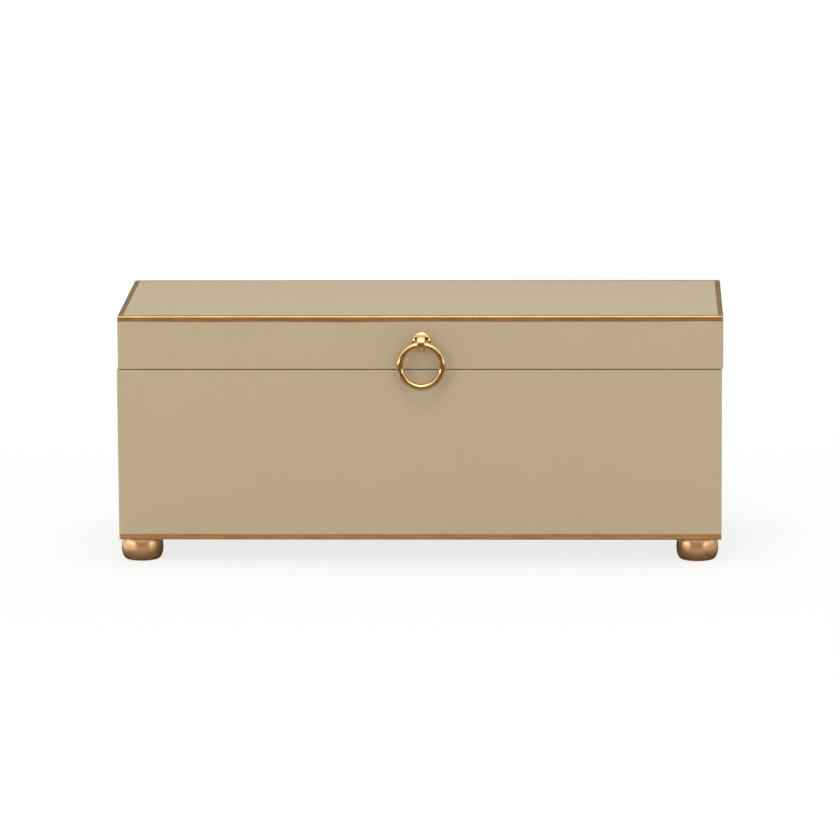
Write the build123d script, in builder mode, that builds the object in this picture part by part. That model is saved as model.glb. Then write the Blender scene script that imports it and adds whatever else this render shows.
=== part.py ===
"""A lidded keepsake box of lacquered board, with a ring pull, two stop hinges and four bun feet.

Millimetres, +Z up, the front of the box faces -Y. The origin is on the table, under the
middle of the whole object: midway between the eye of the pull and the back of the hinges.
"""

import os
from math import cos, radians, sin, tan

from build123d import *

os.makedirs("parts", exist_ok=True)

# ---------------------------------------------------------------- driving dimensions
# Carcass: a body and a lid, each four mitred boards round a panel
box_width = 356.0  # outside of the body, along X
box_depth = 132.0  # front face to back face, along Y
body_height = 101.9  # body boards, along Z
lid_height = 31.6  # closed lid, along Z
seam_gap = 0.5  # open line between the body and the closed lid
lid_shift = 0.7  # the lid hangs this far to the right of the body
wall = 9.0  # thickness of every upright board
base_thickness = 6.0  # bottom panel
top_thickness = 8.0  # top panel
rabbet = 4.0  # how far both panels are let into the boards
corner_round = 1.0  # the four upright outer edges
top_round = 0.9  # outer edge of the lid's top
seam_round = 0.5  # the two outer edges at the seam
base_round = 0.6  # outer edge of the underside
inner_round = 0.4  # the inner edge of both rims, which a hand meets when the box is open

# Bun feet, each held by one wood screw from inside
foot_height = 13.8
foot_radius = 12.4  # at the belly
foot_inset = 13.4  # foot centre to the front, back and side faces
foot_shift = -0.7  # the four feet sit this far to the left of the middle
foot_core = 9.0  # radius of the flat that a foot stands on
foot_belly = 7.0  # height of the belly above the table
foot_shoulder = 9.5  # height of the upper curve, which the underside of the box cuts off
foot_screw_length = 16.0
foot_screw_radius = 1.75
foot_screw_head = 3.4

# Stop hinges, let into the back boards
hinge_inset = 68.0  # end of the box to the middle of a hinge
hinge_length = 38.0
leaf_width = 7.5  # pin axis to the inner edge of a leaf
leaf_thickness = 1.5
barrel_radius = 2.25
pin_radius = 0.9
pin_gap = 0.05  # running clearance round the pin
knuckle_count = 5
knuckle_gap = 0.2  # between neighbouring knuckles
barrel_gap = 0.2  # between a barrel and what turns past it
stop_angle = 100.0  # how far the lid opens
stop_gap = 3.0  # degrees left between the two stop heels at that angle
heel_reach = 4.6  # pin axis to the corner of a stop heel
heel_height = 5.4  # how far a heel runs up or down the back face
leaf_screw_pitch = 12.0
leaf_screw_count = 3
leaf_screw_inset = 4.9  # pin axis to the screws
leaf_screw_length = 8.0
leaf_screw_radius = 1.0
leaf_screw_head = 1.85
screw_head_angle = 90.0  # of the cone under every countersunk head
screw_tip = 1.6  # length of a screw's pointed end, in shank radii
screw_slot = 0.24  # width of a screw's slot, in head radii
mortise_gap = 0.1  # round a leaf in its mortise
screw_gap = 0.05  # round a screw in its hole

# Ring pull, on the front rail of the lid
pull_shift = 1.0  # to the right of the middle of the lid
pull_drop = 14.9  # top of the lid down to the middle of the rosette and the eye
ring_stand = 8.2  # front face to the middle of the ring's wire
ring_radius = 12.5  # to the middle of the wire
wire_radius = 2.05
ring_sag = 0.25  # the wire hangs this far below the middle of its hole
eye_radius = 4.6
eye_top_width = 4.9
eye_base_width = 4.2
eye_hole_radius = 2.75
eye_hole_drop = 0.8  # middle of the eye down to the middle of its hole
eye_round = 0.6
neck_radius = 2.4
rosette_radius = 5.6
rosette_rim = 0.6  # height of the rosette's upright rim
rosette_thickness = 2.4  # rim and dome together
stud_radius = 1.5
stud_gap = 0.1
nut_flats = 5.5  # across flats
nut_thickness = 2.4
washer_radius = 3.4
washer_thickness = 0.5
nut_pocket_radius = 4.2
nut_pocket_depth = 3.4  # from the inside of the rail

# Cloth-covered card linings
lining = 1.2  # thickness on the upright boards
floor_lining_thickness = 2.0
lid_lining_thickness = 1.5
lining_drop = 2.0  # rim of a board to the edge of its lining
lining_gap = 0.3  # round the loose floor and lid linings

# Felt dots that the lid comes down on
dot_radius = 3.0

# ---------------------------------------------------------------- where things lie
body_low = foot_height
body_high = body_low + body_height
lid_low = body_high + seam_gap
lid_high = lid_low + lid_height

heel_angle = radians((stop_angle + stop_gap) / 2)
pull_reach = ring_stand + eye_radius
hinge_reach = heel_reach * cos(heel_angle)
front_y = (pull_reach - hinge_reach - box_depth) / 2
back_y = front_y + box_depth
mid_y = (front_y + back_y) / 2

inner_width = box_width - 2 * wall
inner_depth = box_depth - 2 * wall
panel_width = inner_width + 2 * rabbet
panel_depth = inner_depth + 2 * rabbet

floor_z = body_low + base_thickness
ceiling_z = lid_high - top_thickness
hinge_z = (body_high + lid_low) / 2
pull_x = lid_shift + pull_shift
pull_z = lid_high - pull_drop
pivot_y = front_y - ring_stand
hole_z = pull_z - eye_hole_drop
pivot_z = hole_z - ring_sag

sides = ("front", "back", "left", "right")
hinge_place = box_width / 2 - hinge_inset
hinge_places = {"left": -hinge_place, "right": hinge_place}
foot_places = {
    f"{row}_{side}": (
        foot_shift + sx * (box_width / 2 - foot_inset),
        mid_y + sy * (box_depth / 2 - foot_inset),
    )
    for row, sy in (("front", -1), ("back", 1))
    for side, sx in (("left", -1), ("right", 1))
}


def save(part, name):
    """Labels a finished piece and writes it as parts/NAME.step."""
    part.label = name
    export_step(part, f"parts/{name}.step")


# ---------------------------------------------------------------- boards
def board_ring(centre_x, low, height, low_round, high_round, pocket_low, pocket_depth):
    """A frame of four boards still in one piece: rounded outside, with a rabbet for its panel."""
    with BuildPart() as ring:
        with BuildSketch(Plane.XY.offset(low)):
            with Locations((centre_x, mid_y)):
                Rectangle(box_width, box_depth)
        extrude(amount=height)
        fillet(ring.edges().filter_by(Axis.Z), corner_round)
        fillet(ring.faces().sort_by(Axis.Z)[0].edges(), low_round)
        fillet(ring.faces().sort_by(Axis.Z)[-1].edges(), high_round)
        with BuildSketch(Plane.XY.offset(low)):
            with Locations((centre_x, mid_y)):
                Rectangle(inner_width, inner_depth)
        extrude(amount=height, mode=Mode.SUBTRACT)
        rim = ring.faces().sort_by(Axis.Z)[0 if pocket_low > low else -1]
        fillet(rim.inner_wires()[0].edges(), inner_round)
        with BuildSketch(Plane.XY.offset(pocket_low)):
            with Locations((centre_x, mid_y)):
                Rectangle(panel_width, panel_depth)
        extrude(amount=pocket_depth, mode=Mode.SUBTRACT)
    return ring.part


def mitre_wedge(side):
    """Plan of the region that one board fills, bounded by the two 45 degree mitre lines."""
    outer_x, outer_y = box_width / 2 + wall, box_depth / 2 + wall
    inner_x, inner_y = box_width / 2 - 2 * wall, box_depth / 2 - 2 * wall
    return {
        "front": [(-outer_x, -outer_y), (outer_x, -outer_y), (inner_x, -inner_y), (-inner_x, -inner_y)],
        "back": [(outer_x, outer_y), (-outer_x, outer_y), (-inner_x, inner_y), (inner_x, inner_y)],
        "left": [(-outer_x, outer_y), (-outer_x, -outer_y), (-inner_x, -inner_y), (-inner_x, inner_y)],
        "right": [(outer_x, -outer_y), (outer_x, outer_y), (inner_x, inner_y), (inner_x, -inner_y)],
    }[side]


def mitred_board(ring, centre_x, low, height, side):
    """One board of a ring, mitred at both ends."""
    with BuildPart() as board:
        add(ring)
        with BuildSketch(Plane.XY.offset(low)):
            with Locations((centre_x, mid_y)):
                Polygon(*mitre_wedge(side), align=None)
        extrude(amount=height, mode=Mode.INTERSECT)
    return board.part


def panel(centre_x, low, thickness):
    """A flat panel that fills the rabbet of a ring."""
    with BuildPart() as sheet:
        with BuildSketch(Plane.XY.offset(low)):
            with Locations((centre_x, mid_y)):
                Rectangle(panel_width, panel_depth)
        extrude(amount=thickness)
    return sheet.part


# ---------------------------------------------------------------- screws
def wood_screw(length, radius, head_radius):
    """A slotted countersunk screw that points down, with the top of its head at the origin."""
    head_height = (head_radius - radius) / tan(radians(screw_head_angle / 2))
    tip_height = radius * screw_tip
    slot_width = head_radius * screw_slot
    with BuildPart() as screw:
        with BuildSketch(Plane.XZ):
            with BuildLine():
                Polyline(
                    (0, 0),
                    (head_radius, 0),
                    (radius, -head_height),
                    (radius, tip_height - length),
                    (0, -length),
                    close=True,
                )
            make_face()
        revolve(axis=Axis.Z)
        with BuildSketch():
            Rectangle(2 * head_radius, slot_width)
        extrude(amount=-head_height / 2, mode=Mode.SUBTRACT)
    return screw.part


# ---------------------------------------------------------------- stop hinges
def hinge_plane(x):
    """A plane across the pin axis: its own x runs outwards to the back, its own y runs up."""
    return Plane(origin=(x, back_y, hinge_z), x_dir=(0, 1, 0), z_dir=(1, 0, 0))


def seam_face(hinge_x, up, inset):
    """The plane of a leaf's screws: on the face that looks at the seam, facing the seam."""
    origin = (hinge_x, back_y - inset, hinge_z + up * seam_gap / 2)
    return Plane(origin=origin, x_dir=(1, 0, 0), z_dir=(0, 0, -up))


def heel_outline(up):
    """A stop heel in section: a wedge between the back face and the plane that meets the other heel."""
    corner = (heel_reach * cos(heel_angle), up * heel_reach * sin(heel_angle))
    return [(0, 0), corner, (0, up * heel_height)]


def hinge_leaf(hinge_x, up):
    """One leaf: up is 1 for the lid's and -1 for the body's."""
    start = hinge_x - hinge_length / 2
    pitch = (hinge_length + knuckle_gap) / knuckle_count
    first = 0 if up < 0 else 1
    plate_z = up * (seam_gap + leaf_thickness) / 2
    clear_radius = barrel_radius + barrel_gap
    with BuildPart() as leaf:
        with BuildSketch(hinge_plane(start)):
            with Locations((-leaf_width, plate_z)):
                Rectangle(leaf_width - clear_radius, leaf_thickness, align=(Align.MIN, Align.CENTER))
        extrude(amount=hinge_length)
        with BuildSketch(hinge_plane(start)):
            Polygon(*heel_outline(up), align=None)
            Circle(clear_radius, mode=Mode.SUBTRACT)
        extrude(amount=hinge_length)
        for number in range(first, knuckle_count, 2):
            with BuildSketch(hinge_plane(start + number * pitch)):
                Circle(barrel_radius)
                Polygon(*heel_outline(up), align=None)
                with Locations((-leaf_width, plate_z)):
                    Rectangle(leaf_width, leaf_thickness, align=(Align.MIN, Align.CENTER))
            extrude(amount=pitch - knuckle_gap)
        with BuildSketch(hinge_plane(start)):
            Circle(pin_radius + pin_gap)
        extrude(amount=hinge_length, mode=Mode.SUBTRACT)
        with Locations(seam_face(hinge_x, up, leaf_screw_inset)):
            with GridLocations(leaf_screw_pitch, 1, leaf_screw_count, 1):
                CounterSinkHole(
                    leaf_screw_radius + screw_gap,
                    leaf_screw_head + screw_gap,
                    counter_sink_angle=screw_head_angle,
                )
    return leaf.part


def hinge_mortises(board, up):
    """A back board with its leaf mortises, barrel hollows and pilot holes cut."""
    with BuildPart() as cut:
        add(board)
        for hinge_x in hinge_places.values():
            start = hinge_x - hinge_length / 2 - mortise_gap
            length = hinge_length + 2 * mortise_gap
            depth = leaf_thickness + seam_gap / 2
            with BuildSketch(hinge_plane(start)):
                with Locations((-leaf_width - mortise_gap, up * depth / 2)):
                    Rectangle(leaf_width + wall, depth, align=(Align.MIN, Align.CENTER))
                Circle(barrel_radius + barrel_gap)
            extrude(amount=length, mode=Mode.SUBTRACT)
            with Locations(seam_face(hinge_x, up, leaf_screw_inset)):
                with GridLocations(leaf_screw_pitch, 1, leaf_screw_count, 1):
                    Hole(leaf_screw_radius + screw_gap, depth=leaf_screw_length + screw_gap)
    return cut.part


def leaf_screws(up):
    """The screws of both leaves on one side of the seam."""
    screw = wood_screw(leaf_screw_length, leaf_screw_radius, leaf_screw_head)
    with BuildPart() as group:
        for hinge_x in hinge_places.values():
            with Locations(seam_face(hinge_x, up, leaf_screw_inset)):
                with GridLocations(leaf_screw_pitch, 1, leaf_screw_count, 1):
                    add(screw)
    return group.part


# ---------------------------------------------------------------- body
body_ring = board_ring(0, body_low, body_height, base_round, seam_round, body_low, base_thickness)
body_boards = {side: mitred_board(body_ring, 0, body_low, body_height, side) for side in sides}
body_boards["back"] = hinge_mortises(body_boards["back"], -1)
for side in sides:
    save(body_boards[side], f"body_{side}_board")

with BuildPart() as bottom_panel:
    add(panel(0, body_low, base_thickness))
    with Locations(Plane.XY.offset(floor_z)):
        with Locations(*foot_places.values()):
            CounterSinkHole(
                foot_screw_radius + screw_gap,
                foot_screw_head + screw_gap,
                counter_sink_angle=screw_head_angle,
            )
save(bottom_panel.part, "bottom_panel")


# ---------------------------------------------------------------- feet
def bun_foot(x, y):
    """A turned bun foot: an elliptical belly, flat where it stands and where the box sits on it."""
    swell = foot_radius - foot_core
    with BuildPart() as foot:
        with BuildSketch(Plane.XZ):
            with BuildLine():
                Line((0, 0), (foot_core, 0))
                EllipticalCenterArc((foot_core, foot_belly), swell, foot_belly, start_angle=270, arc_size=90)
                EllipticalCenterArc((foot_core, foot_belly), swell, foot_shoulder, start_angle=0, arc_size=90)
                Line((foot_core, foot_belly + foot_shoulder), (0, foot_belly + foot_shoulder))
                Line((0, foot_belly + foot_shoulder), (0, 0))
            make_face()
        revolve(axis=Axis.Z)
        split(bisect_by=Plane.XY.offset(foot_height), keep=Keep.BOTTOM)
        with Locations((0, 0, foot_height)):
            Hole(foot_screw_radius + screw_gap, depth=foot_screw_length - base_thickness + screw_gap)
    return foot.part.moved(Location((x, y, 0)))


for place, (x, y) in foot_places.items():
    save(bun_foot(x, y), f"foot_{place}")

with BuildPart() as foot_screws:
    with Locations(Plane.XY.offset(floor_z)):
        with Locations(*foot_places.values()):
            add(wood_screw(foot_screw_length, foot_screw_radius, foot_screw_head))
save(foot_screws.part, "foot_screws")

# ---------------------------------------------------------------- lid
lid_ring = board_ring(lid_shift, lid_low, lid_height, seam_round, top_round, ceiling_z, top_thickness)
lid_rails = {side: mitred_board(lid_ring, lid_shift, lid_low, lid_height, side) for side in sides}
lid_rails["back"] = hinge_mortises(lid_rails["back"], 1)

pull_face = Plane(origin=(pull_x, front_y, pull_z), x_dir=(1, 0, 0), z_dir=(0, -1, 0))
with BuildPart() as lid_front_rail:
    add(lid_rails["front"])
    with Locations(pull_face):
        Hole(stud_radius + stud_gap, depth=wall)
    with BuildSketch(pull_face.offset(-wall)):
        Circle(nut_pocket_radius)
    extrude(amount=nut_pocket_depth, mode=Mode.SUBTRACT)
lid_rails["front"] = lid_front_rail.part
for side in sides:
    save(lid_rails[side], f"lid_{side}_rail")

save(panel(lid_shift, ceiling_z, top_thickness), "lid_top_panel")


# ---------------------------------------------------------------- linings
def wall_lining(centre_x, low, high, side):
    """A thin card on the inside of one board. The side cards stand between the front and back ones."""
    sign = -1 if side in ("front", "left") else 1
    with BuildPart() as card:
        with BuildSketch(Plane.XY.offset(low)):
            if side in ("front", "back"):
                with Locations((centre_x, mid_y + sign * (inner_depth - lining) / 2)):
                    Rectangle(inner_width, lining)
            else:
                with Locations((centre_x + sign * (inner_width - lining) / 2, mid_y)):
                    Rectangle(lining, inner_depth - 2 * lining)
        extrude(amount=high - low)
    return card.part


def flat_lining(centre_x, low, thickness):
    """A cloth-covered card that lies between the four wall linings."""
    with BuildPart() as card:
        with BuildSketch(Plane.XY.offset(low)):
            with Locations((centre_x, mid_y)):
                Rectangle(
                    inner_width - 2 * (lining + lining_gap),
                    inner_depth - 2 * (lining + lining_gap),
                )
        extrude(amount=thickness)
    return card.part


for side in sides:
    save(wall_lining(0, floor_z, body_high - lining_drop, side), f"body_{side}_lining")
    save(wall_lining(lid_shift, lid_low + lining_drop, ceiling_z, side), f"lid_{side}_lining")
save(flat_lining(0, floor_z, floor_lining_thickness), "floor_lining")
save(flat_lining(lid_shift, ceiling_z - lid_lining_thickness, lid_lining_thickness), "lid_top_lining")

# ---------------------------------------------------------------- hinges
for place, hinge_x in hinge_places.items():
    save(hinge_leaf(hinge_x, -1), f"hinge_{place}_body_leaf")
    save(hinge_leaf(hinge_x, 1), f"hinge_{place}_lid_leaf")
    with BuildPart() as hinge_pin:
        with BuildSketch(hinge_plane(hinge_x - hinge_length / 2)):
            Circle(pin_radius)
        extrude(amount=hinge_length)
    save(hinge_pin.part, f"hinge_{place}_pin")

save(leaf_screws(-1), "hinge_screws_body")
save(leaf_screws(1), "hinge_screws_lid")

# ---------------------------------------------------------------- rest dots
dot_x = box_width / 2 - wall / 2
with BuildPart() as rest_dots:
    with BuildSketch(Plane.XY.offset(body_high)):
        with Locations((-dot_x, front_y + wall / 2), (dot_x, front_y + wall / 2)):
            Circle(dot_radius)
    extrude(amount=seam_gap)
save(rest_dots.part, "rest_dots")

# ---------------------------------------------------------------- ring pull
rosette_section = Plane(origin=(pull_x, front_y, pull_z), x_dir=(1, 0, 0), z_dir=(0, 0, -1))
with BuildPart() as pull_rosette:
    with BuildSketch(rosette_section):
        with BuildLine():
            Polyline((0, rosette_thickness), (0, 0), (rosette_radius, 0), (rosette_radius, rosette_rim))
            EllipticalCenterArc(
                (0, rosette_rim),
                rosette_radius,
                rosette_thickness - rosette_rim,
                start_angle=0,
                arc_size=90,
            )
        make_face()
    revolve(axis=Axis((pull_x, front_y, pull_z), (0, 1, 0)))
    with BuildSketch(pull_face):
        Circle(stud_radius + stud_gap)
    extrude(amount=rosette_thickness, mode=Mode.SUBTRACT)
    with BuildSketch(pull_face.offset(rosette_rim)):
        Circle(neck_radius + stud_gap)
    extrude(amount=rosette_thickness, mode=Mode.SUBTRACT)
save(pull_rosette.part, "pull_rosette")

nut_seat = wall - nut_pocket_depth  # front face to the bottom of the nut's pocket
stud_length = nut_seat + washer_thickness + nut_thickness
eye_section = Plane(origin=(pull_x, pivot_y, pull_z), x_dir=(0, 1, 0), z_dir=(1, 0, 0))
with BuildPart() as pull_eye:
    with BuildSketch(eye_section):
        Circle(eye_radius)
    extrude(amount=eye_top_width, both=True)
    with BuildSketch(pull_face.offset(ring_stand)):
        Polygon(
            (-eye_base_width / 2, -eye_radius),
            (eye_base_width / 2, -eye_radius),
            (eye_top_width / 2, eye_radius),
            (-eye_top_width / 2, eye_radius),
            align=None,
        )
    extrude(amount=eye_radius, both=True, mode=Mode.INTERSECT)
    fillet(pull_eye.edges().filter_by(GeomType.ELLIPSE), eye_round)
    with BuildSketch(pull_face.offset(rosette_rim)):
        Circle(neck_radius)
    extrude(amount=ring_stand - rosette_rim - eye_hole_radius)
    with BuildSketch(eye_section):
        with Locations((0, -eye_hole_drop)):
            Circle(eye_hole_radius)
    extrude(amount=eye_top_width, both=True, mode=Mode.SUBTRACT)
    with BuildSketch(pull_face.offset(rosette_rim)):
        Circle(stud_radius)
    extrude(amount=-rosette_rim - stud_length)
save(pull_eye.part, "pull_eye")

with BuildPart() as pull_washer:
    with BuildSketch(pull_face.offset(-nut_seat)):
        Circle(washer_radius)
        Circle(stud_radius + stud_gap, mode=Mode.SUBTRACT)
    extrude(amount=-washer_thickness)
save(pull_washer.part, "pull_washer")

with BuildPart() as pull_nut:
    with BuildSketch(pull_face.offset(-nut_seat - washer_thickness)):
        RegularPolygon(nut_flats / 2, 6, major_radius=False)
        Circle(stud_radius + screw_gap, mode=Mode.SUBTRACT)
    extrude(amount=-nut_thickness)
save(pull_nut.part, "pull_nut")

with BuildPart() as pull_ring:
    with BuildSketch(Plane(origin=(pull_x, pivot_y, pivot_z), x_dir=(0, 1, 0), z_dir=(1, 0, 0))):
        Circle(wire_radius)
    revolve(axis=Axis((pull_x, pivot_y, pivot_z - ring_radius), (0, 1, 0)))
save(pull_ring.part, "pull_ring")

print("overall", box_width + lid_shift, box_depth + pull_reach + hinge_reach, lid_high)
print("lid pivot", (0, back_y, hinge_z), "ring pivot", (pull_x, pivot_y, pivot_z))
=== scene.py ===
# %% [markdown]
# # A lacquered keepsake box
#
# The box is a long, low one: four boards round a bottom panel, a shallow lid of the same make, a small
# polished ring pull, and four turned bun feet. Its taupe lacquer is satin, and its only ornament is a
# gold line, drawn by hand along the upper edge of the lid and along the foot of the body.
#
# The shapes that have to fit and move come ready made, in metres, as a fixed frame. What is made here is
# what the eye sees: every finish, the cloth inside, the light and the camera.

import math

import bmesh
import bpy
from mathutils import Matrix, Vector


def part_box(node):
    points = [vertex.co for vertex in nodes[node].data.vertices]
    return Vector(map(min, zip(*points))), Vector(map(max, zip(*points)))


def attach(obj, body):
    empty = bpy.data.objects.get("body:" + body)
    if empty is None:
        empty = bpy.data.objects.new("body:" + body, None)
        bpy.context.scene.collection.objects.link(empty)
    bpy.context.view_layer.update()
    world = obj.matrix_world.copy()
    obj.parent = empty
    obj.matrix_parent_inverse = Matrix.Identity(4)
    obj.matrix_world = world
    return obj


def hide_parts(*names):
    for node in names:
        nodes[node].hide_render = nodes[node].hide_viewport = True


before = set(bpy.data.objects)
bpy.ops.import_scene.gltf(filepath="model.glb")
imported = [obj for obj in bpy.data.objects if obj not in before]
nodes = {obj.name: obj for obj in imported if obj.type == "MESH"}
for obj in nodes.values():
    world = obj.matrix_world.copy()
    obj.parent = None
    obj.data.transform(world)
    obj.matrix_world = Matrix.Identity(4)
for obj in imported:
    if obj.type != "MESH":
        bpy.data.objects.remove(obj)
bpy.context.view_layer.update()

# %% [markdown]
# The sizes that a finish needs could be typed in from a drawing, and would be wrong as soon as the box is
# made longer. So they are read from the frame, and a line of paint always lies on its edge. Only the
# painter's own choices are numbers here, in millimetres, because a painter thinks in those.

# %% Where the edges lie
MM = 0.001
SIDES = ("front", "back", "left", "right")


def box_of(names):
    """Lowest and highest corner of several pieces together."""
    corners = [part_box(name) for name in names]
    low = Vector(min(c[0][axis] for c in corners) for axis in range(3))
    high = Vector(max(c[1][axis] for c in corners) for axis in range(3))
    return low, high


def middle_and_half(low, high):
    """The middle of a box and half its size, in millimetres."""
    return (low + high) / 2 / MM, (high - low) / 2 / MM


body_low, body_high = box_of([f"body_{side}_board" for side in SIDES])
lid_low, lid_high = box_of([f"lid_{side}_rail" for side in SIDES])
print("body", body_low, body_high)
print("lid", lid_low, lid_high)

# %% [markdown]
# ## Arithmetic in a material
#
# A painted line is a sum: how far is this point from that edge, and is it less than the width of the
# brush? Blender adds numbers with Math nodes, one node for each plus or minus. Wiring them by hand hides
# the sum, so a small class wraps a socket and lets Python's own operators add the nodes.

# %% A socket that can be added, multiplied and compared
class Number:
    """What a node gives out. Sums work on numbers; colours, vectors and shaders are only linked."""

    def __init__(self, finish, socket):
        self.finish = finish
        self.socket = socket

    def maths(self, operation, first, second=0.0):
        """The result of one Math node."""
        inputs = {0: first, 1: second}
        return self.finish.node("ShaderNodeMath", {"operation": operation}, inputs)["Value"]

    def __add__(self, other):
        return self.maths("ADD", self, other)

    def __radd__(self, other):
        return self.maths("ADD", other, self)

    def __sub__(self, other):
        return self.maths("SUBTRACT", self, other)

    def __rsub__(self, other):
        return self.maths("SUBTRACT", other, self)

    def __mul__(self, other):
        return self.maths("MULTIPLY", self, other)

    def __rmul__(self, other):
        return self.maths("MULTIPLY", other, self)

    def __abs__(self):
        return self.maths("ABSOLUTE", self)

    def smaller(self, other):
        """The smaller of two numbers."""
        return self.maths("MINIMUM", self, other)

    def larger(self, other):
        """The larger of two numbers."""
        return self.maths("MAXIMUM", self, other)

    def soft_step(self, start, end):
        """0 below start and 1 above end, with a smooth climb between."""
        settings = {"interpolation_type": "SMOOTHSTEP", "clamp": True}
        inputs = {"Value": self, "From Min": start, "From Max": end, "To Min": 0.0, "To Max": 1.0}
        return self.finish.node("ShaderNodeMapRange", settings, inputs)["Result"]


print("a Number adds its own nodes for + - * abs, smaller, larger and soft_step")

# %% [markdown]
# Every other node comes from one method, which takes the node's type, its settings and what goes into
# its sockets. `Finish` is a material with that method, and with the few moves that the finishes here
# share: where a point is, a noise, a mix of two colours or shaders, a bump, and the ways a material ends.

# %% A finish: one material and its nodes
# A Mix node holds sockets for numbers and vectors too, so those for colours are found by their place.
MIX_SHARE = 0
MIX_FIRST = 6
MIX_SECOND = 7


class Finish:
    """A material, or the world, whose nodes are added by name."""

    def __init__(self, name, owner=None):
        self.owner = owner or bpy.data.materials.new(name)
        self.owner.use_nodes = True
        self.tree = self.owner.node_tree
        self.tree.nodes.clear()

    def node(self, kind, settings=None, inputs=None):
        """Adds a node and returns its outputs by name."""
        made = self.tree.nodes.new(kind)
        for name, value in (settings or {}).items():
            if name == "stops":
                self.set_stops(made.color_ramp, value)
            else:
                setattr(made, name, value)
        for name, value in (inputs or {}).items():
            self.feed(made.inputs[name], value)
        return {socket.name: Number(self, socket) for socket in made.outputs if socket.enabled}

    def feed(self, socket, value):
        """Links what another node gives out, or sets a constant."""
        if isinstance(value, Number):
            self.tree.links.new(value.socket, socket)
        else:
            socket.default_value = value

    def set_stops(self, ramp, stops):
        """Gives a colour ramp its stops, each a place and a colour."""
        while len(ramp.elements) < len(stops):
            ramp.elements.new(1.0)
        for element, (place, tone) in zip(ramp.elements, stops):
            element.position = place
            element.color = tone

    def here(self):
        """The point being shaded, in metres, in the box's own frame."""
        return self.node("ShaderNodeTexCoord")["Object"]

    def place(self):
        """The point being shaded, as x, y and z in millimetres."""
        parts = self.node("ShaderNodeSeparateXYZ", None, {"Vector": self.here()})
        return [parts[axis] * (1 / MM) for axis in "XYZ"]

    def noise(self, feature, detail=2.0, stretch=(1, 1, 1), roughness=0.5):
        """Cloudy noise from 0 to 1. A feature is this many millimetres across."""
        scale = tuple(1 / (times * feature * MM) for times in stretch)
        drawn_out = self.node("ShaderNodeMapping", None, {"Vector": self.here(), "Scale": scale})
        inputs = {
            "Vector": drawn_out["Vector"],
            "Scale": 1.0,
            "Detail": detail,
            "Roughness": roughness,
        }
        return self.node("ShaderNodeTexNoise", None, inputs)["Fac"]

    def mix(self, share, first, second):
        """A mix of two colours, all second where share is 1."""
        settings = {"data_type": "RGBA", "clamp_factor": True}
        inputs = {MIX_SHARE: share, MIX_FIRST: first, MIX_SECOND: second}
        return self.node("ShaderNodeMix", settings, inputs)["Result"]

    def mix_shaders(self, share, first, second):
        """A mix of two shaders, all second where share is 1."""
        return self.node("ShaderNodeMixShader", None, {0: share, 1: first, 2: second})["Shader"]

    def bump(self, height, depth):
        """A normal that is tilted by a height, where 1 stands for this many millimetres."""
        inputs = {"Height": height, "Distance": depth * MM, "Strength": 1.0}
        return self.node("ShaderNodeBump", None, inputs)["Normal"]

    def end(self, shader, output="ShaderNodeOutputMaterial"):
        """Links the last shader to the output and returns the material."""
        self.node(output, None, {"Surface": shader})
        return self.owner

    def surface(self, **inputs):
        """Ends the material in a Principled shader, whose sockets are named with underscores."""
        named = {name.replace("_", " "): value for name, value in inputs.items()}
        return self.end(self.node("ShaderNodeBsdfPrincipled", None, named)["BSDF"])

    def glow(self, tone):
        """Ends the material in a colour that shines by itself, whatever lights it."""
        inputs = {"Color": tone, "Strength": 1.0}
        return self.end(self.node("ShaderNodeEmission", None, inputs)["Emission"])


def colour(red, green, blue):
    """A colour given as 0 to 255 on the screen, as the linear one that a shader takes."""
    def linear(value):
        """One channel, by the standard curve of a screen."""
        value /= 255
        return value / 12.92 if value <= 0.04045 else ((value + 0.055) / 1.055) ** 2.4
    return (linear(red), linear(green), linear(blue), 1.0)


WHITE = colour(255, 255, 255)
print("half grey on the screen is", round(colour(128, 128, 128)[0], 3), "of white in light")

# %% [markdown]
# ## The lacquer and its gold lines
#
# The real box is sprayed with several coats of lacquer, rubbed down to a satin, and then lined in gold
# with a small brush. The line turns over the edge and covers a little over three millimetres of each face.
# It could be a thin strip of its own, but paint has no thickness to speak of and a strip would need its
# own corners. A mask in the material has neither problem.
#
# A point is gold if it lies near *both* faces that meet at the edge. `depth` is how far the point is from
# the nearest upright face, `height` how far it is from the edge's level face, and the larger of the two,
# set against the width of the brush stroke, says whether there is gold. A hand wavers, so the width of
# the stroke drifts slowly along the edge and trembles a little.

# %% The gold line
LINE_WIDTH = 3.4
LINE_DRIFT = 0.9
LINE_TREMBLE = 0.25
LINE_EDGE = 0.1
DRIFT_LENGTH = 70.0
TREMBLE_LENGTH = 6.0
NOISE_MIDDLE = 0.5


def gold_line(finish, low, high, level, upwards):
    """1 where the gold line is: along the level edge of a box from low to high."""
    x, y, z = finish.place()
    centre, half = middle_and_half(low, high)
    depth = (half.x - abs(x - centre.x)).smaller(half.y - abs(y - centre.y))
    height = (z - level / MM) if upwards else (level / MM - z)
    drift = finish.noise(DRIFT_LENGTH, detail=0.0) - NOISE_MIDDLE
    tremble = finish.noise(TREMBLE_LENGTH, detail=1.0) - NOISE_MIDDLE
    width = LINE_WIDTH + drift * LINE_DRIFT + tremble * LINE_TREMBLE
    inside = width - depth.larger(height)
    return inside.soft_step(-LINE_EDGE, LINE_EDGE)


print("gold line", LINE_WIDTH, "mm wide, drifting by up to", LINE_DRIFT / 2, "mm either way")

# %% [markdown]
# Lacquer on board is never quite even. Up close it has the fine pebble of sprayed paint, called orange
# peel, and from further off it is very slightly cloudy. Gold paint is thicker, shows its brush strokes
# along the line, and its flakes make it nearly a metal. Two materials with a seam between them would need
# that seam in the mesh. One material that changes from lacquer to gold by the mask needs none.

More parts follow.
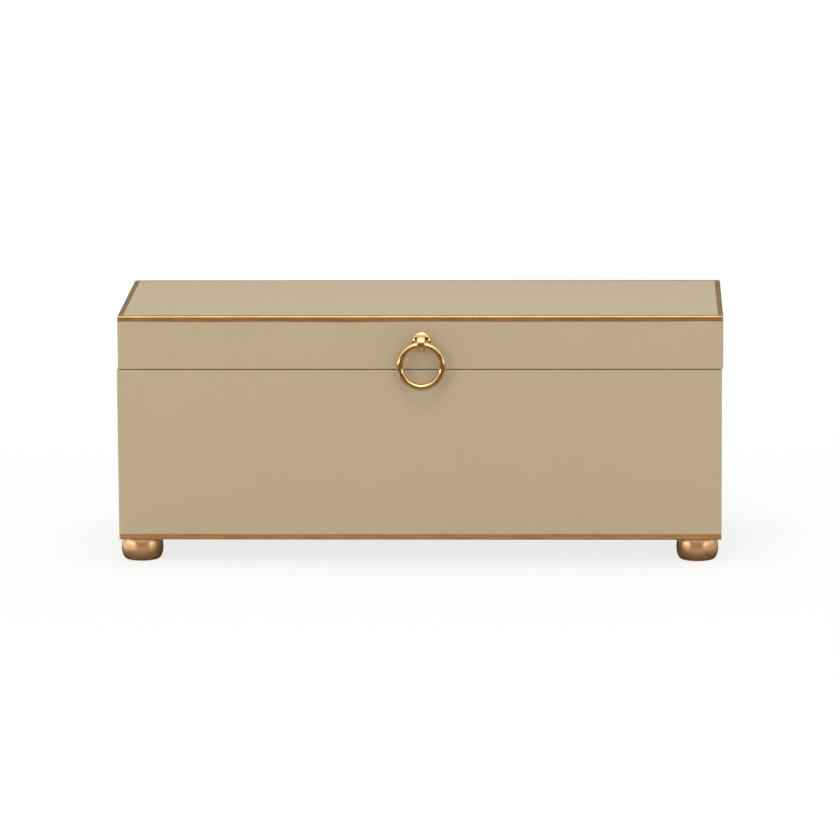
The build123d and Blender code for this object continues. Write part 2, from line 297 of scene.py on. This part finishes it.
# %% The lacquer
LACQUER = colour(189, 170, 138)
LACQUER_CLOUD = colour(185, 166, 134)
GOLD = colour(222, 177, 119)
GOLD_DARK = colour(206, 160, 104)

CLOUD_SIZE = 60.0
PEEL_SIZE = 1.1
PEEL_HEIGHT = 0.25
RIPPLE_SIZE = 14.0
STROKE_SIZE = 1.6
STROKE_RUN = (9, 9, 1)
STROKE_TONES = (0.35, 0.7)
GOLD_HEIGHT = 2.0
PAINT_DEPTH = 0.012

SATIN = 0.34
CLOUD_DULLS = 0.05
GOLD_SMOOTHER = 0.13
GOLD_METAL = 0.8


def lacquer(name, low, high, level, upwards):
    """Satin taupe lacquer with a hand-drawn gold line along one edge."""
    finish = Finish(name)
    gold = gold_line(finish, low, high, level, upwards)
    cloud = finish.noise(CLOUD_SIZE, detail=3.0)
    strokes = finish.noise(STROKE_SIZE, detail=2.0, stretch=STROKE_RUN)
    peel = finish.noise(PEEL_SIZE, detail=1.0)
    ripple = finish.noise(RIPPLE_SIZE, detail=1.0)
    paint = finish.mix(cloud, LACQUER, LACQUER_CLOUD)
    metal = finish.mix(strokes.soft_step(*STROKE_TONES), GOLD, GOLD_DARK)
    lacquer_height = peel * PEEL_HEIGHT + ripple
    height = lacquer_height * (1 - gold) + gold * (GOLD_HEIGHT + strokes)
    return finish.surface(
        Base_Color=finish.mix(gold, paint, metal),
        Metallic=gold * GOLD_METAL,
        Roughness=SATIN + cloud * CLOUD_DULLS - gold * GOLD_SMOOTHER,
        Normal=finish.bump(height, PAINT_DEPTH),
    )


body_lacquer = lacquer("lacquer_body", body_low, body_high, body_low.z, upwards=True)
lid_lacquer = lacquer("lacquer_lid", lid_low, lid_high, lid_high.z, upwards=False)
print("lacquer nodes:", len(body_lacquer.node_tree.nodes))

# %% [markdown]
# ## The feet
#
# The feet are turned from wood and painted a bronze gold, rubbed back with a soft cloth, which leaves the
# paint in patches, drawn with noise. Shade is painted on as well: the paint is darker at the bottom, where
# a foot stands on the table, and at the top, where it meets the box, so the belly stays lighter. That
# could be painted on each foot by hand. All four are turned alike, so a mask that depends on height does
# it for them at once. A clear coat over the paint gives the broad highlights. Its index is higher than the
# 1.5 or so of real varnish, so that it mirrors as much as the photograph shows.

# %% Bronze-gold paint
BRONZE = colour(242, 195, 140)
BRONZE_DARK = colour(214, 164, 108)

PATCH_SIZE = 9.0
PATCH_TONES = (0.45, 0.75)
PATCH_DARKENS = 0.5
FLAT_REACH = 3.0
NECK_REACH = 2.0
# How much painted shade darkens a foot at its bottom and top.
CONTACT_SHADE_DARKENS = 0.6
TURNING_SIZE = 0.8
TURNING_RUN = (5, 5, 1)
TURNING_DEPTH = 0.01

BRONZE_METAL = 0.8
BRONZE_ROUGH = 0.25
PATCH_DULLS = 0.08
COAT = 0.6
COAT_ROUGH = 0.18
COAT_INDEX = 1.9


def bronze():
    """Rubbed bronze-gold paint on turned wood, with painted shade at its bottom and top."""
    finish = Finish("bronze_foot")
    _, _, z = finish.place()
    patches = finish.noise(PATCH_SIZE, detail=3.0)
    turning = finish.noise(TURNING_SIZE, detail=2.0, stretch=TURNING_RUN)
    foot_height = body_low.z / MM
    # Painted shade: darker near the table and just under the box, where the foot meets them.
    under_neck = 1 - z.soft_step(foot_height - NECK_REACH, foot_height)
    contact_shade = 1 - z.soft_step(0.0, FLAT_REACH) * under_neck
    dark = contact_shade * CONTACT_SHADE_DARKENS + patches.soft_step(*PATCH_TONES) * PATCH_DARKENS
    return finish.surface(
        Base_Color=finish.mix(dark.smaller(1.0), BRONZE, BRONZE_DARK),
        Metallic=BRONZE_METAL,
        Roughness=BRONZE_ROUGH + patches * PATCH_DULLS,
        Coat_Weight=COAT,
        Coat_Roughness=COAT_ROUGH,
        Coat_IOR=COAT_INDEX,
        Normal=finish.bump(turning, TURNING_DEPTH),
    )


bronze_foot = bronze()
print("bronze nodes:", len(bronze_foot.node_tree.nodes))

# %% [markdown]
# ## Metal
#
# The ring, its eye and the rosette are polished brass. A polished metal has almost no colour of its own:
# what the eye sees is the room, tinted. So most of the work is in the light, further down. The finish only
# adds what hands leave behind, a film of faint smudges and hairline scratches.

# %% Polished brass
BRASS = colour(240, 211, 157)
BRASS_WARM = colour(224, 186, 126)

SMUDGE_SIZE = 3.5
SMUDGE_DULLS = 0.08
SCRATCH_SIZE = 0.25
SCRATCH_RUN = (1, 1, 14)
SCRATCH_DEPTH = 0.0012
POLISH = 0.08


def polished_brass():
    """Polished brass with a film of handling marks."""
    finish = Finish("polished_brass")
    smudges = finish.noise(SMUDGE_SIZE, detail=3.0)
    scratches = finish.noise(SCRATCH_SIZE, detail=1.0, stretch=SCRATCH_RUN)
    return finish.surface(
        Base_Color=finish.mix(smudges, BRASS, BRASS_WARM),
        Metallic=1.0,
        Roughness=POLISH + smudges * SMUDGE_DULLS,
        Normal=finish.bump(scratches, SCRATCH_DEPTH),
    )


brass = polished_brass()
print("polished:", brass.name)

# %% [markdown]
# Hinge leaves are stamped from rolled brass, and the rolling leaves a fine grain along their length. Screw
# heads are turned, so they have hardly any direction. Each could have a finish of its own, but they differ
# only in colour, gloss and grain. So one function makes them all: a noise that is stretched along the
# grain varies the roughness and tilts the surface very slightly.

# %% Stamped and turned metal
GRAIN_SIZE = 0.18
GRAIN_DULLS = 0.08
GRAIN_DEPTH = 0.001
FILM_SIZE = 6.0
ROLLED = (20, 1, 1)
TURNED = (1, 1, 1)


def brushed_metal(name, bright, dull, roughness, along):
    """Metal with a grain that runs one way."""
    finish = Finish(name)
    grain = finish.noise(GRAIN_SIZE, detail=2.0, stretch=along)
    film = finish.noise(FILM_SIZE, detail=2.0)
    return finish.surface(
        Base_Color=finish.mix(film, bright, dull),
        Metallic=1.0,
        Roughness=roughness + grain * GRAIN_DULLS,
        Normal=finish.bump(grain, GRAIN_DEPTH),
    )


hinge_brass = brushed_metal(
    "hinge_brass",
    bright=colour(232, 200, 142),
    dull=colour(214, 178, 118),
    roughness=0.26,
    along=ROLLED,
)
brass_screw = brushed_metal(
    "brass_screw",
    bright=colour(240, 210, 152),
    dull=colour(222, 188, 128),
    roughness=0.22,
    along=TURNED,
)
steel_screw = brushed_metal(
    "steel_screw",
    bright=colour(196, 196, 192),
    dull=colour(158, 157, 152),
    roughness=0.25,
    along=TURNED,
)
print("stamped and turned:", hinge_brass.name, brass_screw.name, steel_screw.name)

# %% [markdown]
# ## Cloth
#
# The lining is a short-napped cloth. Its nap lies one way in one place and another way in the next, which
# shows as soft patches, lighter and darker. Real fibres could be grown as hair, but they are too short to
# be seen one by one at this size, so noise stands for them in colour and bump. Sheen, a Principled
# setting, gives such a cloth its pale rim. Felt is the same with a finer pile and less sheen.

# %% Lining cloth and felt
NAP_SIZE = 26.0
NAP_TONES = (0.3, 0.7)
NAP_SHARE = 0.45
FIBRE_SHARE = 0.55
FIBRE_DEPTH = 0.12
CLOTH_ROUGH = 0.95
SHEEN_ROUGH = 0.5


def napped(name, light, dark, pile, sheen):
    """Short-napped cloth with brushed patches."""
    finish = Finish(name)
    patches = finish.noise(NAP_SIZE, detail=3.0, roughness=0.6)
    fibres = finish.noise(pile, detail=3.0, roughness=0.7)
    shade = patches.soft_step(*NAP_TONES) * NAP_SHARE + fibres * FIBRE_SHARE
    return finish.surface(
        Base_Color=finish.mix(shade, light, dark),
        Roughness=CLOTH_ROUGH,
        Sheen_Weight=sheen,
        Sheen_Roughness=SHEEN_ROUGH,
        Normal=finish.bump(fibres, FIBRE_DEPTH),
    )


lining_cloth = napped(
    "lining_cloth",
    light=colour(204, 190, 166),
    dark=colour(186, 170, 145),
    pile=0.5,
    sheen=0.4,
)
felt = napped(
    "felt",
    light=colour(70, 60, 50),
    dark=colour(40, 34, 28),
    pile=0.35,
    sheen=0.2,
)
print("cloths:", lining_cloth.name, felt.name)

# %% [markdown]
# ## Dressing the ready-made pieces
#
# Boards, feet, pull and hinges already have their true shape, so they only take a finish. A list from
# every piece to its finish would be long and easy to get wrong. The names already say what each piece is,
# so a short list of words does it, the more exact word first.

# %% Finish by name
FINISHES = [
    ("foot_screws", steel_screw),
    ("foot_", bronze_foot),
    ("hinge_screws", brass_screw),
    ("hinge_", hinge_brass),
    ("pull_washer", steel_screw),
    ("pull_nut", steel_screw),
    ("pull_", brass),
    ("rest_dots", felt),
    ("bottom_panel", body_lacquer),
    ("_lining", lining_cloth),
    ("lid_", lid_lacquer),
    ("body_", body_lacquer),
]


def finish_for(name):
    """The first finish whose word is in the piece's name."""
    return next(finish for word, finish in FINISHES if word in name)


for name, piece in nodes.items():
    piece.data.materials.clear()
    piece.data.materials.append(finish_for(name))
print("dressed", len(nodes), "pieces")

# %% [markdown]
# ## Helpers for new pieces
#
# Every new shape enters the scene in the same way: a bmesh becomes a mesh, the mesh takes its finish, and
# an object carries it. The object could be moved into place, but then a pattern on its surface would count
# from another point. So it stays at the origin, and its place is in its mesh. Lamps and the camera have no
# mesh, and are moved. A soft edge is always a bevel.

# %% From a bmesh to an object
def in_scene(name, data):
    """A new object in the scene."""
    thing = bpy.data.objects.new(name, data)
    bpy.context.scene.collection.objects.link(thing)
    return thing


def built(name, mesh, material):
    """An object made of a bmesh, with one material."""
    data = bpy.data.meshes.new(name)
    mesh.to_mesh(data)
    mesh.free()
    data.materials.append(material)
    return in_scene(name, data)


def soften(mesh, edges, width, steps):
    """Rounds edges of a bmesh."""
    bmesh.ops.bevel(
        mesh,
        geom=edges,
        offset=width,
        offset_type="OFFSET",
        segments=steps,
        profile=0.5,
        affect="EDGES",
        material=-1,
    )


def soft_piece(name, mesh, node, material):
    """Turns a bmesh into a smooth piece that replaces a node of the frame."""
    piece = built(name, mesh, material)
    for face in piece.data.polygons:
        face.use_smooth = True
    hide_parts(node)
    print("soft piece", name, "with", len(piece.data.polygons), "faces")
    return piece


print("ready to build soft pieces")

# %% [markdown]
# ## The cloth-covered cards
#
# Each lining is a card with cloth pulled over it and glued behind, so its edges are round and soft. A
# cloth simulation would only find the same flat card again, because the glue leaves no fold. A cube,
# scaled to the size of the card and bevelled on all its edges, is that shape. It takes the place of the
# plain card in the frame, which stays behind for the simulation of the moving parts.

# %% A cloth-covered card
CARD_ROUND = 0.45 * MM
CARD_BEND_STEPS = 3


def cloth_card(node):
    """A soft-edged card in the place of a plain lining."""
    low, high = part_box(node)
    mesh = bmesh.new()
    bmesh.ops.create_cube(mesh, size=1.0)
    bmesh.ops.scale(mesh, vec=high - low, verts=mesh.verts)
    bmesh.ops.translate(mesh, vec=(low + high) / 2, verts=mesh.verts)
    soften(mesh, mesh.edges, CARD_ROUND, CARD_BEND_STEPS)
    return soft_piece(f"{node}_cloth", mesh, node, lining_cloth)


for side in SIDES:
    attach(cloth_card(f"body_{side}_lining"), "box")
    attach(cloth_card(f"lid_{side}_lining"), "lid")
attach(cloth_card("floor_lining"), "box")
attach(cloth_card("lid_top_lining"), "lid")

# %% [markdown]
# ## The felt dots
#
# Two self-adhesive felt dots near the front corners keep the lid from clapping. Punched felt bulges a
# little over its cut edge. A dot could be a half-sunk ball, but its side is upright where the punch cut
# it. A low cone with equal ends is a disc, and a wide bevel round its upper rim makes the bulge. One mesh
# holds both dots, because they are one piece in the frame.

# %% Two felt dots
DOT_SIDES = 48
DOT_BEND_STEPS = 4
DOT_BEND = 0.7

dots_low, dots_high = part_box("rest_dots")
dot_radius = (dots_high.y - dots_low.y) / 2
dot_thickness = dots_high.z - dots_low.z
dot_middle = (dots_low + dots_high) / 2
dots = bmesh.new()
for x in (dots_low.x + dot_radius, dots_high.x - dot_radius):
    bmesh.ops.create_cone(
        dots,
        cap_ends=True,
        segments=DOT_SIDES,
        radius1=dot_radius,
        radius2=dot_radius,
        depth=dot_thickness,
        matrix=Matrix.Translation((x, dot_middle.y, dot_middle.z)),
    )
upper_rims = [
    edge for edge in dots.edges
    if all(vert.co.z > dot_middle.z for vert in edge.verts)
]
soften(dots, upper_rims, DOT_BEND * dot_thickness, DOT_BEND_STEPS)
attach(soft_piece("felt_dots", dots, "rest_dots", felt), "box")

# %% [markdown]
# ## Floor, light and camera
#
# The photograph is a catalogue shot on white. A floor lit to white would need more light than the box can
# take. So the floor shines by itself for whoever looks at it, and only near the box keeps a share of real
# light, in which the box leaves a soft shadow.

# %% The floor
FLOOR_REACH = 12.0
FLOOR_PALE = (0.9, 0.9, 0.9, 1)
FLOOR_GLOW = 0.8
SHADOW_REACH = 320.0


def flat_sheet(low, high):
    """A bmesh of one level face between two corners."""
    mesh = bmesh.new()
    bmesh.ops.create_grid(mesh, x_segments=1, y_segments=1, size=0.5)
    bmesh.ops.scale(mesh, vec=high - low, verts=mesh.verts)
    bmesh.ops.translate(mesh, vec=(low + high) / 2, verts=mesh.verts)
    return mesh


def pale_rays(finish):
    """1 for rays that look at the background, straight, in a metal or through glass."""
    path = finish.node("ShaderNodeLightPath")
    return path["Is Camera Ray"].larger(path["Is Glossy Ray"]).larger(path["Is Transmission Ray"])


def away_from_box(finish):
    """How far a point on the table is from the outline of the box, in millimetres."""
    x, y, _ = finish.place()
    centre, half = middle_and_half(body_low, body_high)
    return (abs(x - centre.x) - half.x).larger(abs(y - centre.y) - half.y)


def floor_finish():
    """White to look at, with a share of real light left near the box for its shadow."""
    finish = Finish("pale_floor")
    diffuse = finish.node("ShaderNodeBsdfDiffuse", None, {"Color": FLOOR_PALE})["BSDF"]
    glow = finish.node("ShaderNodeEmission", None, {"Color": WHITE, "Strength": 1.0})["Emission"]
    share = FLOOR_GLOW + away_from_box(finish).soft_step(0.0, SHADOW_REACH) * (1 - FLOOR_GLOW)
    return finish.end(finish.mix_shaders(share * pale_rays(finish), diffuse, glow))


floor_corner = Vector((FLOOR_REACH, FLOOR_REACH, 0))
floor = built("floor", flat_sheet(-floor_corner, floor_corner), floor_finish())
print("floor", 2 * FLOOR_REACH, "m square")

# %% [markdown]
# The world is white to look at, straight or in a reflection, and much dimmer as a source of light, so that
# it fills the shadows without washing the colours out. One plain background can't be both. Light Path
# tells the two kinds of ray apart, and each gets its own.

# %% The world
WORLD_FILL = 0.52

world = bpy.data.worlds.new("studio")
bpy.context.scene.world = world
studio = Finish("studio", world)
fill = studio.node("ShaderNodeBackground", None, {"Color": WHITE, "Strength": WORLD_FILL})
backdrop = studio.node("ShaderNodeBackground", None, {"Color": WHITE, "Strength": 1.0})
sky = studio.mix_shaders(pale_rays(studio), fill["Background"], backdrop["Background"])
studio.end(sky, "ShaderNodeOutputWorld")
print("world fills with", WORLD_FILL)

# %% [markdown]
# Soft lamps light the box: two low ones in front, left and right, a smaller one higher up, which gives
# the ring its shadow, one overhead for the top of the lid, and a weaker one behind, so that the back can
# be seen too. They light surfaces only. A lamp that is itself reflected in satin lacquer burns a white
# patch into it from one side or another, so what shiny surfaces reflect is laid out on its own, below.

# %% Soft lamps
LOOK_AT = Vector((0, 0, 0.08))


def soft_lamp(name, place, size, power):
    """A large lamp that faces the box and isn't itself seen."""
    lamp = bpy.data.lights.new(name, "AREA")
    lamp.shape = "RECTANGLE"
    lamp.size, lamp.size_y = size
    lamp.energy = power
    piece = in_scene(name, lamp)
    piece.location = place
    piece.rotation_euler = (LOOK_AT - Vector(place)).to_track_quat("-Z", "Y").to_euler()
    piece.visible_camera = False
    piece.visible_glossy = False
    print("lamp", name, power, "W")


soft_lamp("front_left", place=(-1.1, -1.9, 0.8), size=(0.8, 0.6), power=8)
soft_lamp("front_right", place=(0.9, -1.9, 0.7), size=(0.8, 0.6), power=5.5)
soft_lamp("front_high", place=(-0.15, -1.05, 1.5), size=(0.5, 0.4), power=4.2)
soft_lamp("overhead", place=(0.0, 0.2, 1.7), size=(1.2, 0.8), power=11)
soft_lamp("behind", place=(0.6, 2.3, 0.8), size=(1.2, 0.8), power=6.5)

# %% [markdown]
# ## What the metal reflects
#
# Polished metal in an all-white room looks like plastic, because every part of it reflects the same white.
# A photographer stands cards round such a thing, just out of the picture. Here a dark one in front draws
# the dark line down the middle of a ring, and a dark one behind turns the gold lines at the sides of the
# lid brown. Pale ones at the sides and above draw the bright lines, and the brown of the table warms
# whatever faces down. The front card stands between the camera and the box. That blocks nothing, because
# only reflections see these cards.

# %% A card that only reflections see
def reflected_card(name, mesh, material):
    """Puts a stage card in the scene that is seen in shiny surfaces and nowhere else."""
    card = built(name, mesh, material)
    card.visible_camera = False
    card.visible_diffuse = False
    card.visible_shadow = False
    card.visible_transmission = False
    print("card", name, "with", len(card.data.polygons), "faces")


# %% [markdown]
# A card could be a flat sheet, turned to face the box, but a row of flat ones leaves gaps in a round
# reflection. So a curved card is a straight edge, spun part of the way round the box. Azimuth 0 is
# straight in front, and to the right is more. Each end of the edge is given as its distance from the
# middle and its height, so an upright edge makes a wall, a lying one a piece of table, and a leaning one
# a canopy.

# %% The curved cards
CARD_STEPS = 16
CURVED_TABLE_LIFT = 0.4 * MM


def curved_card(name, azimuth, spread, start, end, shade):
    """A card round the box from one distance and height to another."""
    mesh = bmesh.new()
    turn = Matrix.Rotation(math.radians(azimuth - spread / 2), 3, "Z")
    ends = [mesh.verts.new(turn @ Vector((0, -reach, height))) for reach, height in (start, end)]
    edge = mesh.edges.new(ends)
    bmesh.ops.spin(
        mesh,
        geom=[*ends, edge],
        cent=(0, 0, 0),
        axis=(0, 0, 1),
        angle=math.radians(spread),
        steps=CARD_STEPS,
        use_merge=False,
    )
    reflected_card(name, mesh, Finish(name).glow((*shade, 1.0)))


curved_card(
    "dark_card", azimuth=0, spread=96, start=(2.6, 0.0), end=(2.6, 0.8), shade=(0.06, 0.045, 0.035)
)
curved_card(
    "back_card", azimuth=180, spread=150, start=(2.6, 0.0), end=(2.6, 0.9), shade=(0.05, 0.045, 0.04)
)
curved_card(
    "left_card", azimuth=-63, spread=50, start=(1.8, 0.01), end=(1.8, 0.28), shade=(2.7, 2.55, 2.35)
)
curved_card(
    "right_card", azimuth=48, spread=26, start=(1.8, 0.01), end=(1.8, 0.28), shade=(2.1, 2.0, 1.85)
)
curved_card(
    "high_card", azimuth=0, spread=84, start=(1.6, 1.25), end=(0.45, 2.5), shade=(2.8, 2.7, 2.5)
)
curved_card(
    "table_front",
    azimuth=0,
    spread=170,
    start=(0.32, CURVED_TABLE_LIFT),
    end=(2.0, CURVED_TABLE_LIFT),
    shade=(0.21, 0.145, 0.095),
)

# %% [markdown]
# Next to the box the table card is a rectangle. Under the box it is dark, a painted shadow of the box for
# the feet to reflect, and close by it is golden brown, where the feet and the underside of the ring see
# it. Several small cards could do that with hard steps between them. A colour ramp over the distance from
# the box does it smoothly on one. On the left it reaches only a few centimetres past the box, which lets
# the white floor shine into the left foot.

# %% The table card
TABLE_MARGIN = 0.25
TABLE_LEFT = 0.035
TABLE_LIFT = 0.5 * MM
TABLE_STOPS = [
    # The first stop is a painted shadow of the box, under the box.
    (0.0, (0.02, 0.015, 0.01, 1)),
    (0.12, (0.48, 0.38, 0.29, 1)),
    (0.3, (0.46, 0.36, 0.27, 1)),
    (0.6, (0.25, 0.175, 0.12, 1)),
    (1.0, (0.21, 0.145, 0.095, 1)),
]

table_finish = Finish("table_card")
distance = away_from_box(table_finish) * (MM / TABLE_MARGIN)
tone = table_finish.node("ShaderNodeValToRGB", {"stops": TABLE_STOPS}, {"Fac": distance})["Color"]
table_low = Vector((body_low.x - TABLE_LEFT, body_low.y - TABLE_MARGIN, TABLE_LIFT))
table_high = Vector((body_high.x + TABLE_MARGIN, body_high.y + TABLE_MARGIN, TABLE_LIFT))
reflected_card("table_card", flat_sheet(table_low, table_high), table_finish.glow(tone))

# %% [markdown]
# The camera stands three and a half metres off with a long lens, a little to the right of the middle,
# and looks down by about ten and a half degrees. It could be moved by eye until the picture fits. The
# seven numbers here were worked out instead, from the edges of the box in the photograph, because a long
# lens hides its distance: very different places give nearly the same picture.

# %% The camera
CAMERA_RIGHT = 0.12126
CAMERA_AWAY = 3.4717
CAMERA_ABOVE = 0.71966
CAMERA_YAW = math.radians(1.992)
CAMERA_PITCH = math.radians(10.561)
CAMERA_ROLL = math.radians(-0.363)
CAMERA_LENS = 257.3
SENSOR_WIDTH = 36
VIEW_END = 40

camera = in_scene("camera", bpy.data.cameras.new("camera"))
camera.data.lens = CAMERA_LENS
camera.data.sensor_width = SENSOR_WIDTH
camera.data.clip_end = VIEW_END
middle = (body_low.x + body_high.x) / 2
eye = Vector((middle + CAMERA_RIGHT, body_low.y - CAMERA_AWAY, body_low.z + CAMERA_ABOVE))
turn = (
    Matrix.Rotation(CAMERA_YAW, 4, "Z")
    @ Matrix.Rotation(math.radians(90) - CAMERA_PITCH, 4, "X")
    @ Matrix.Rotation(CAMERA_ROLL, 4, "Z")
)
camera.matrix_world = Matrix.Translation(eye) @ turn
bpy.context.scene.camera = camera
bpy.context.scene.view_settings.view_transform = "Standard"
print("camera at", eye)
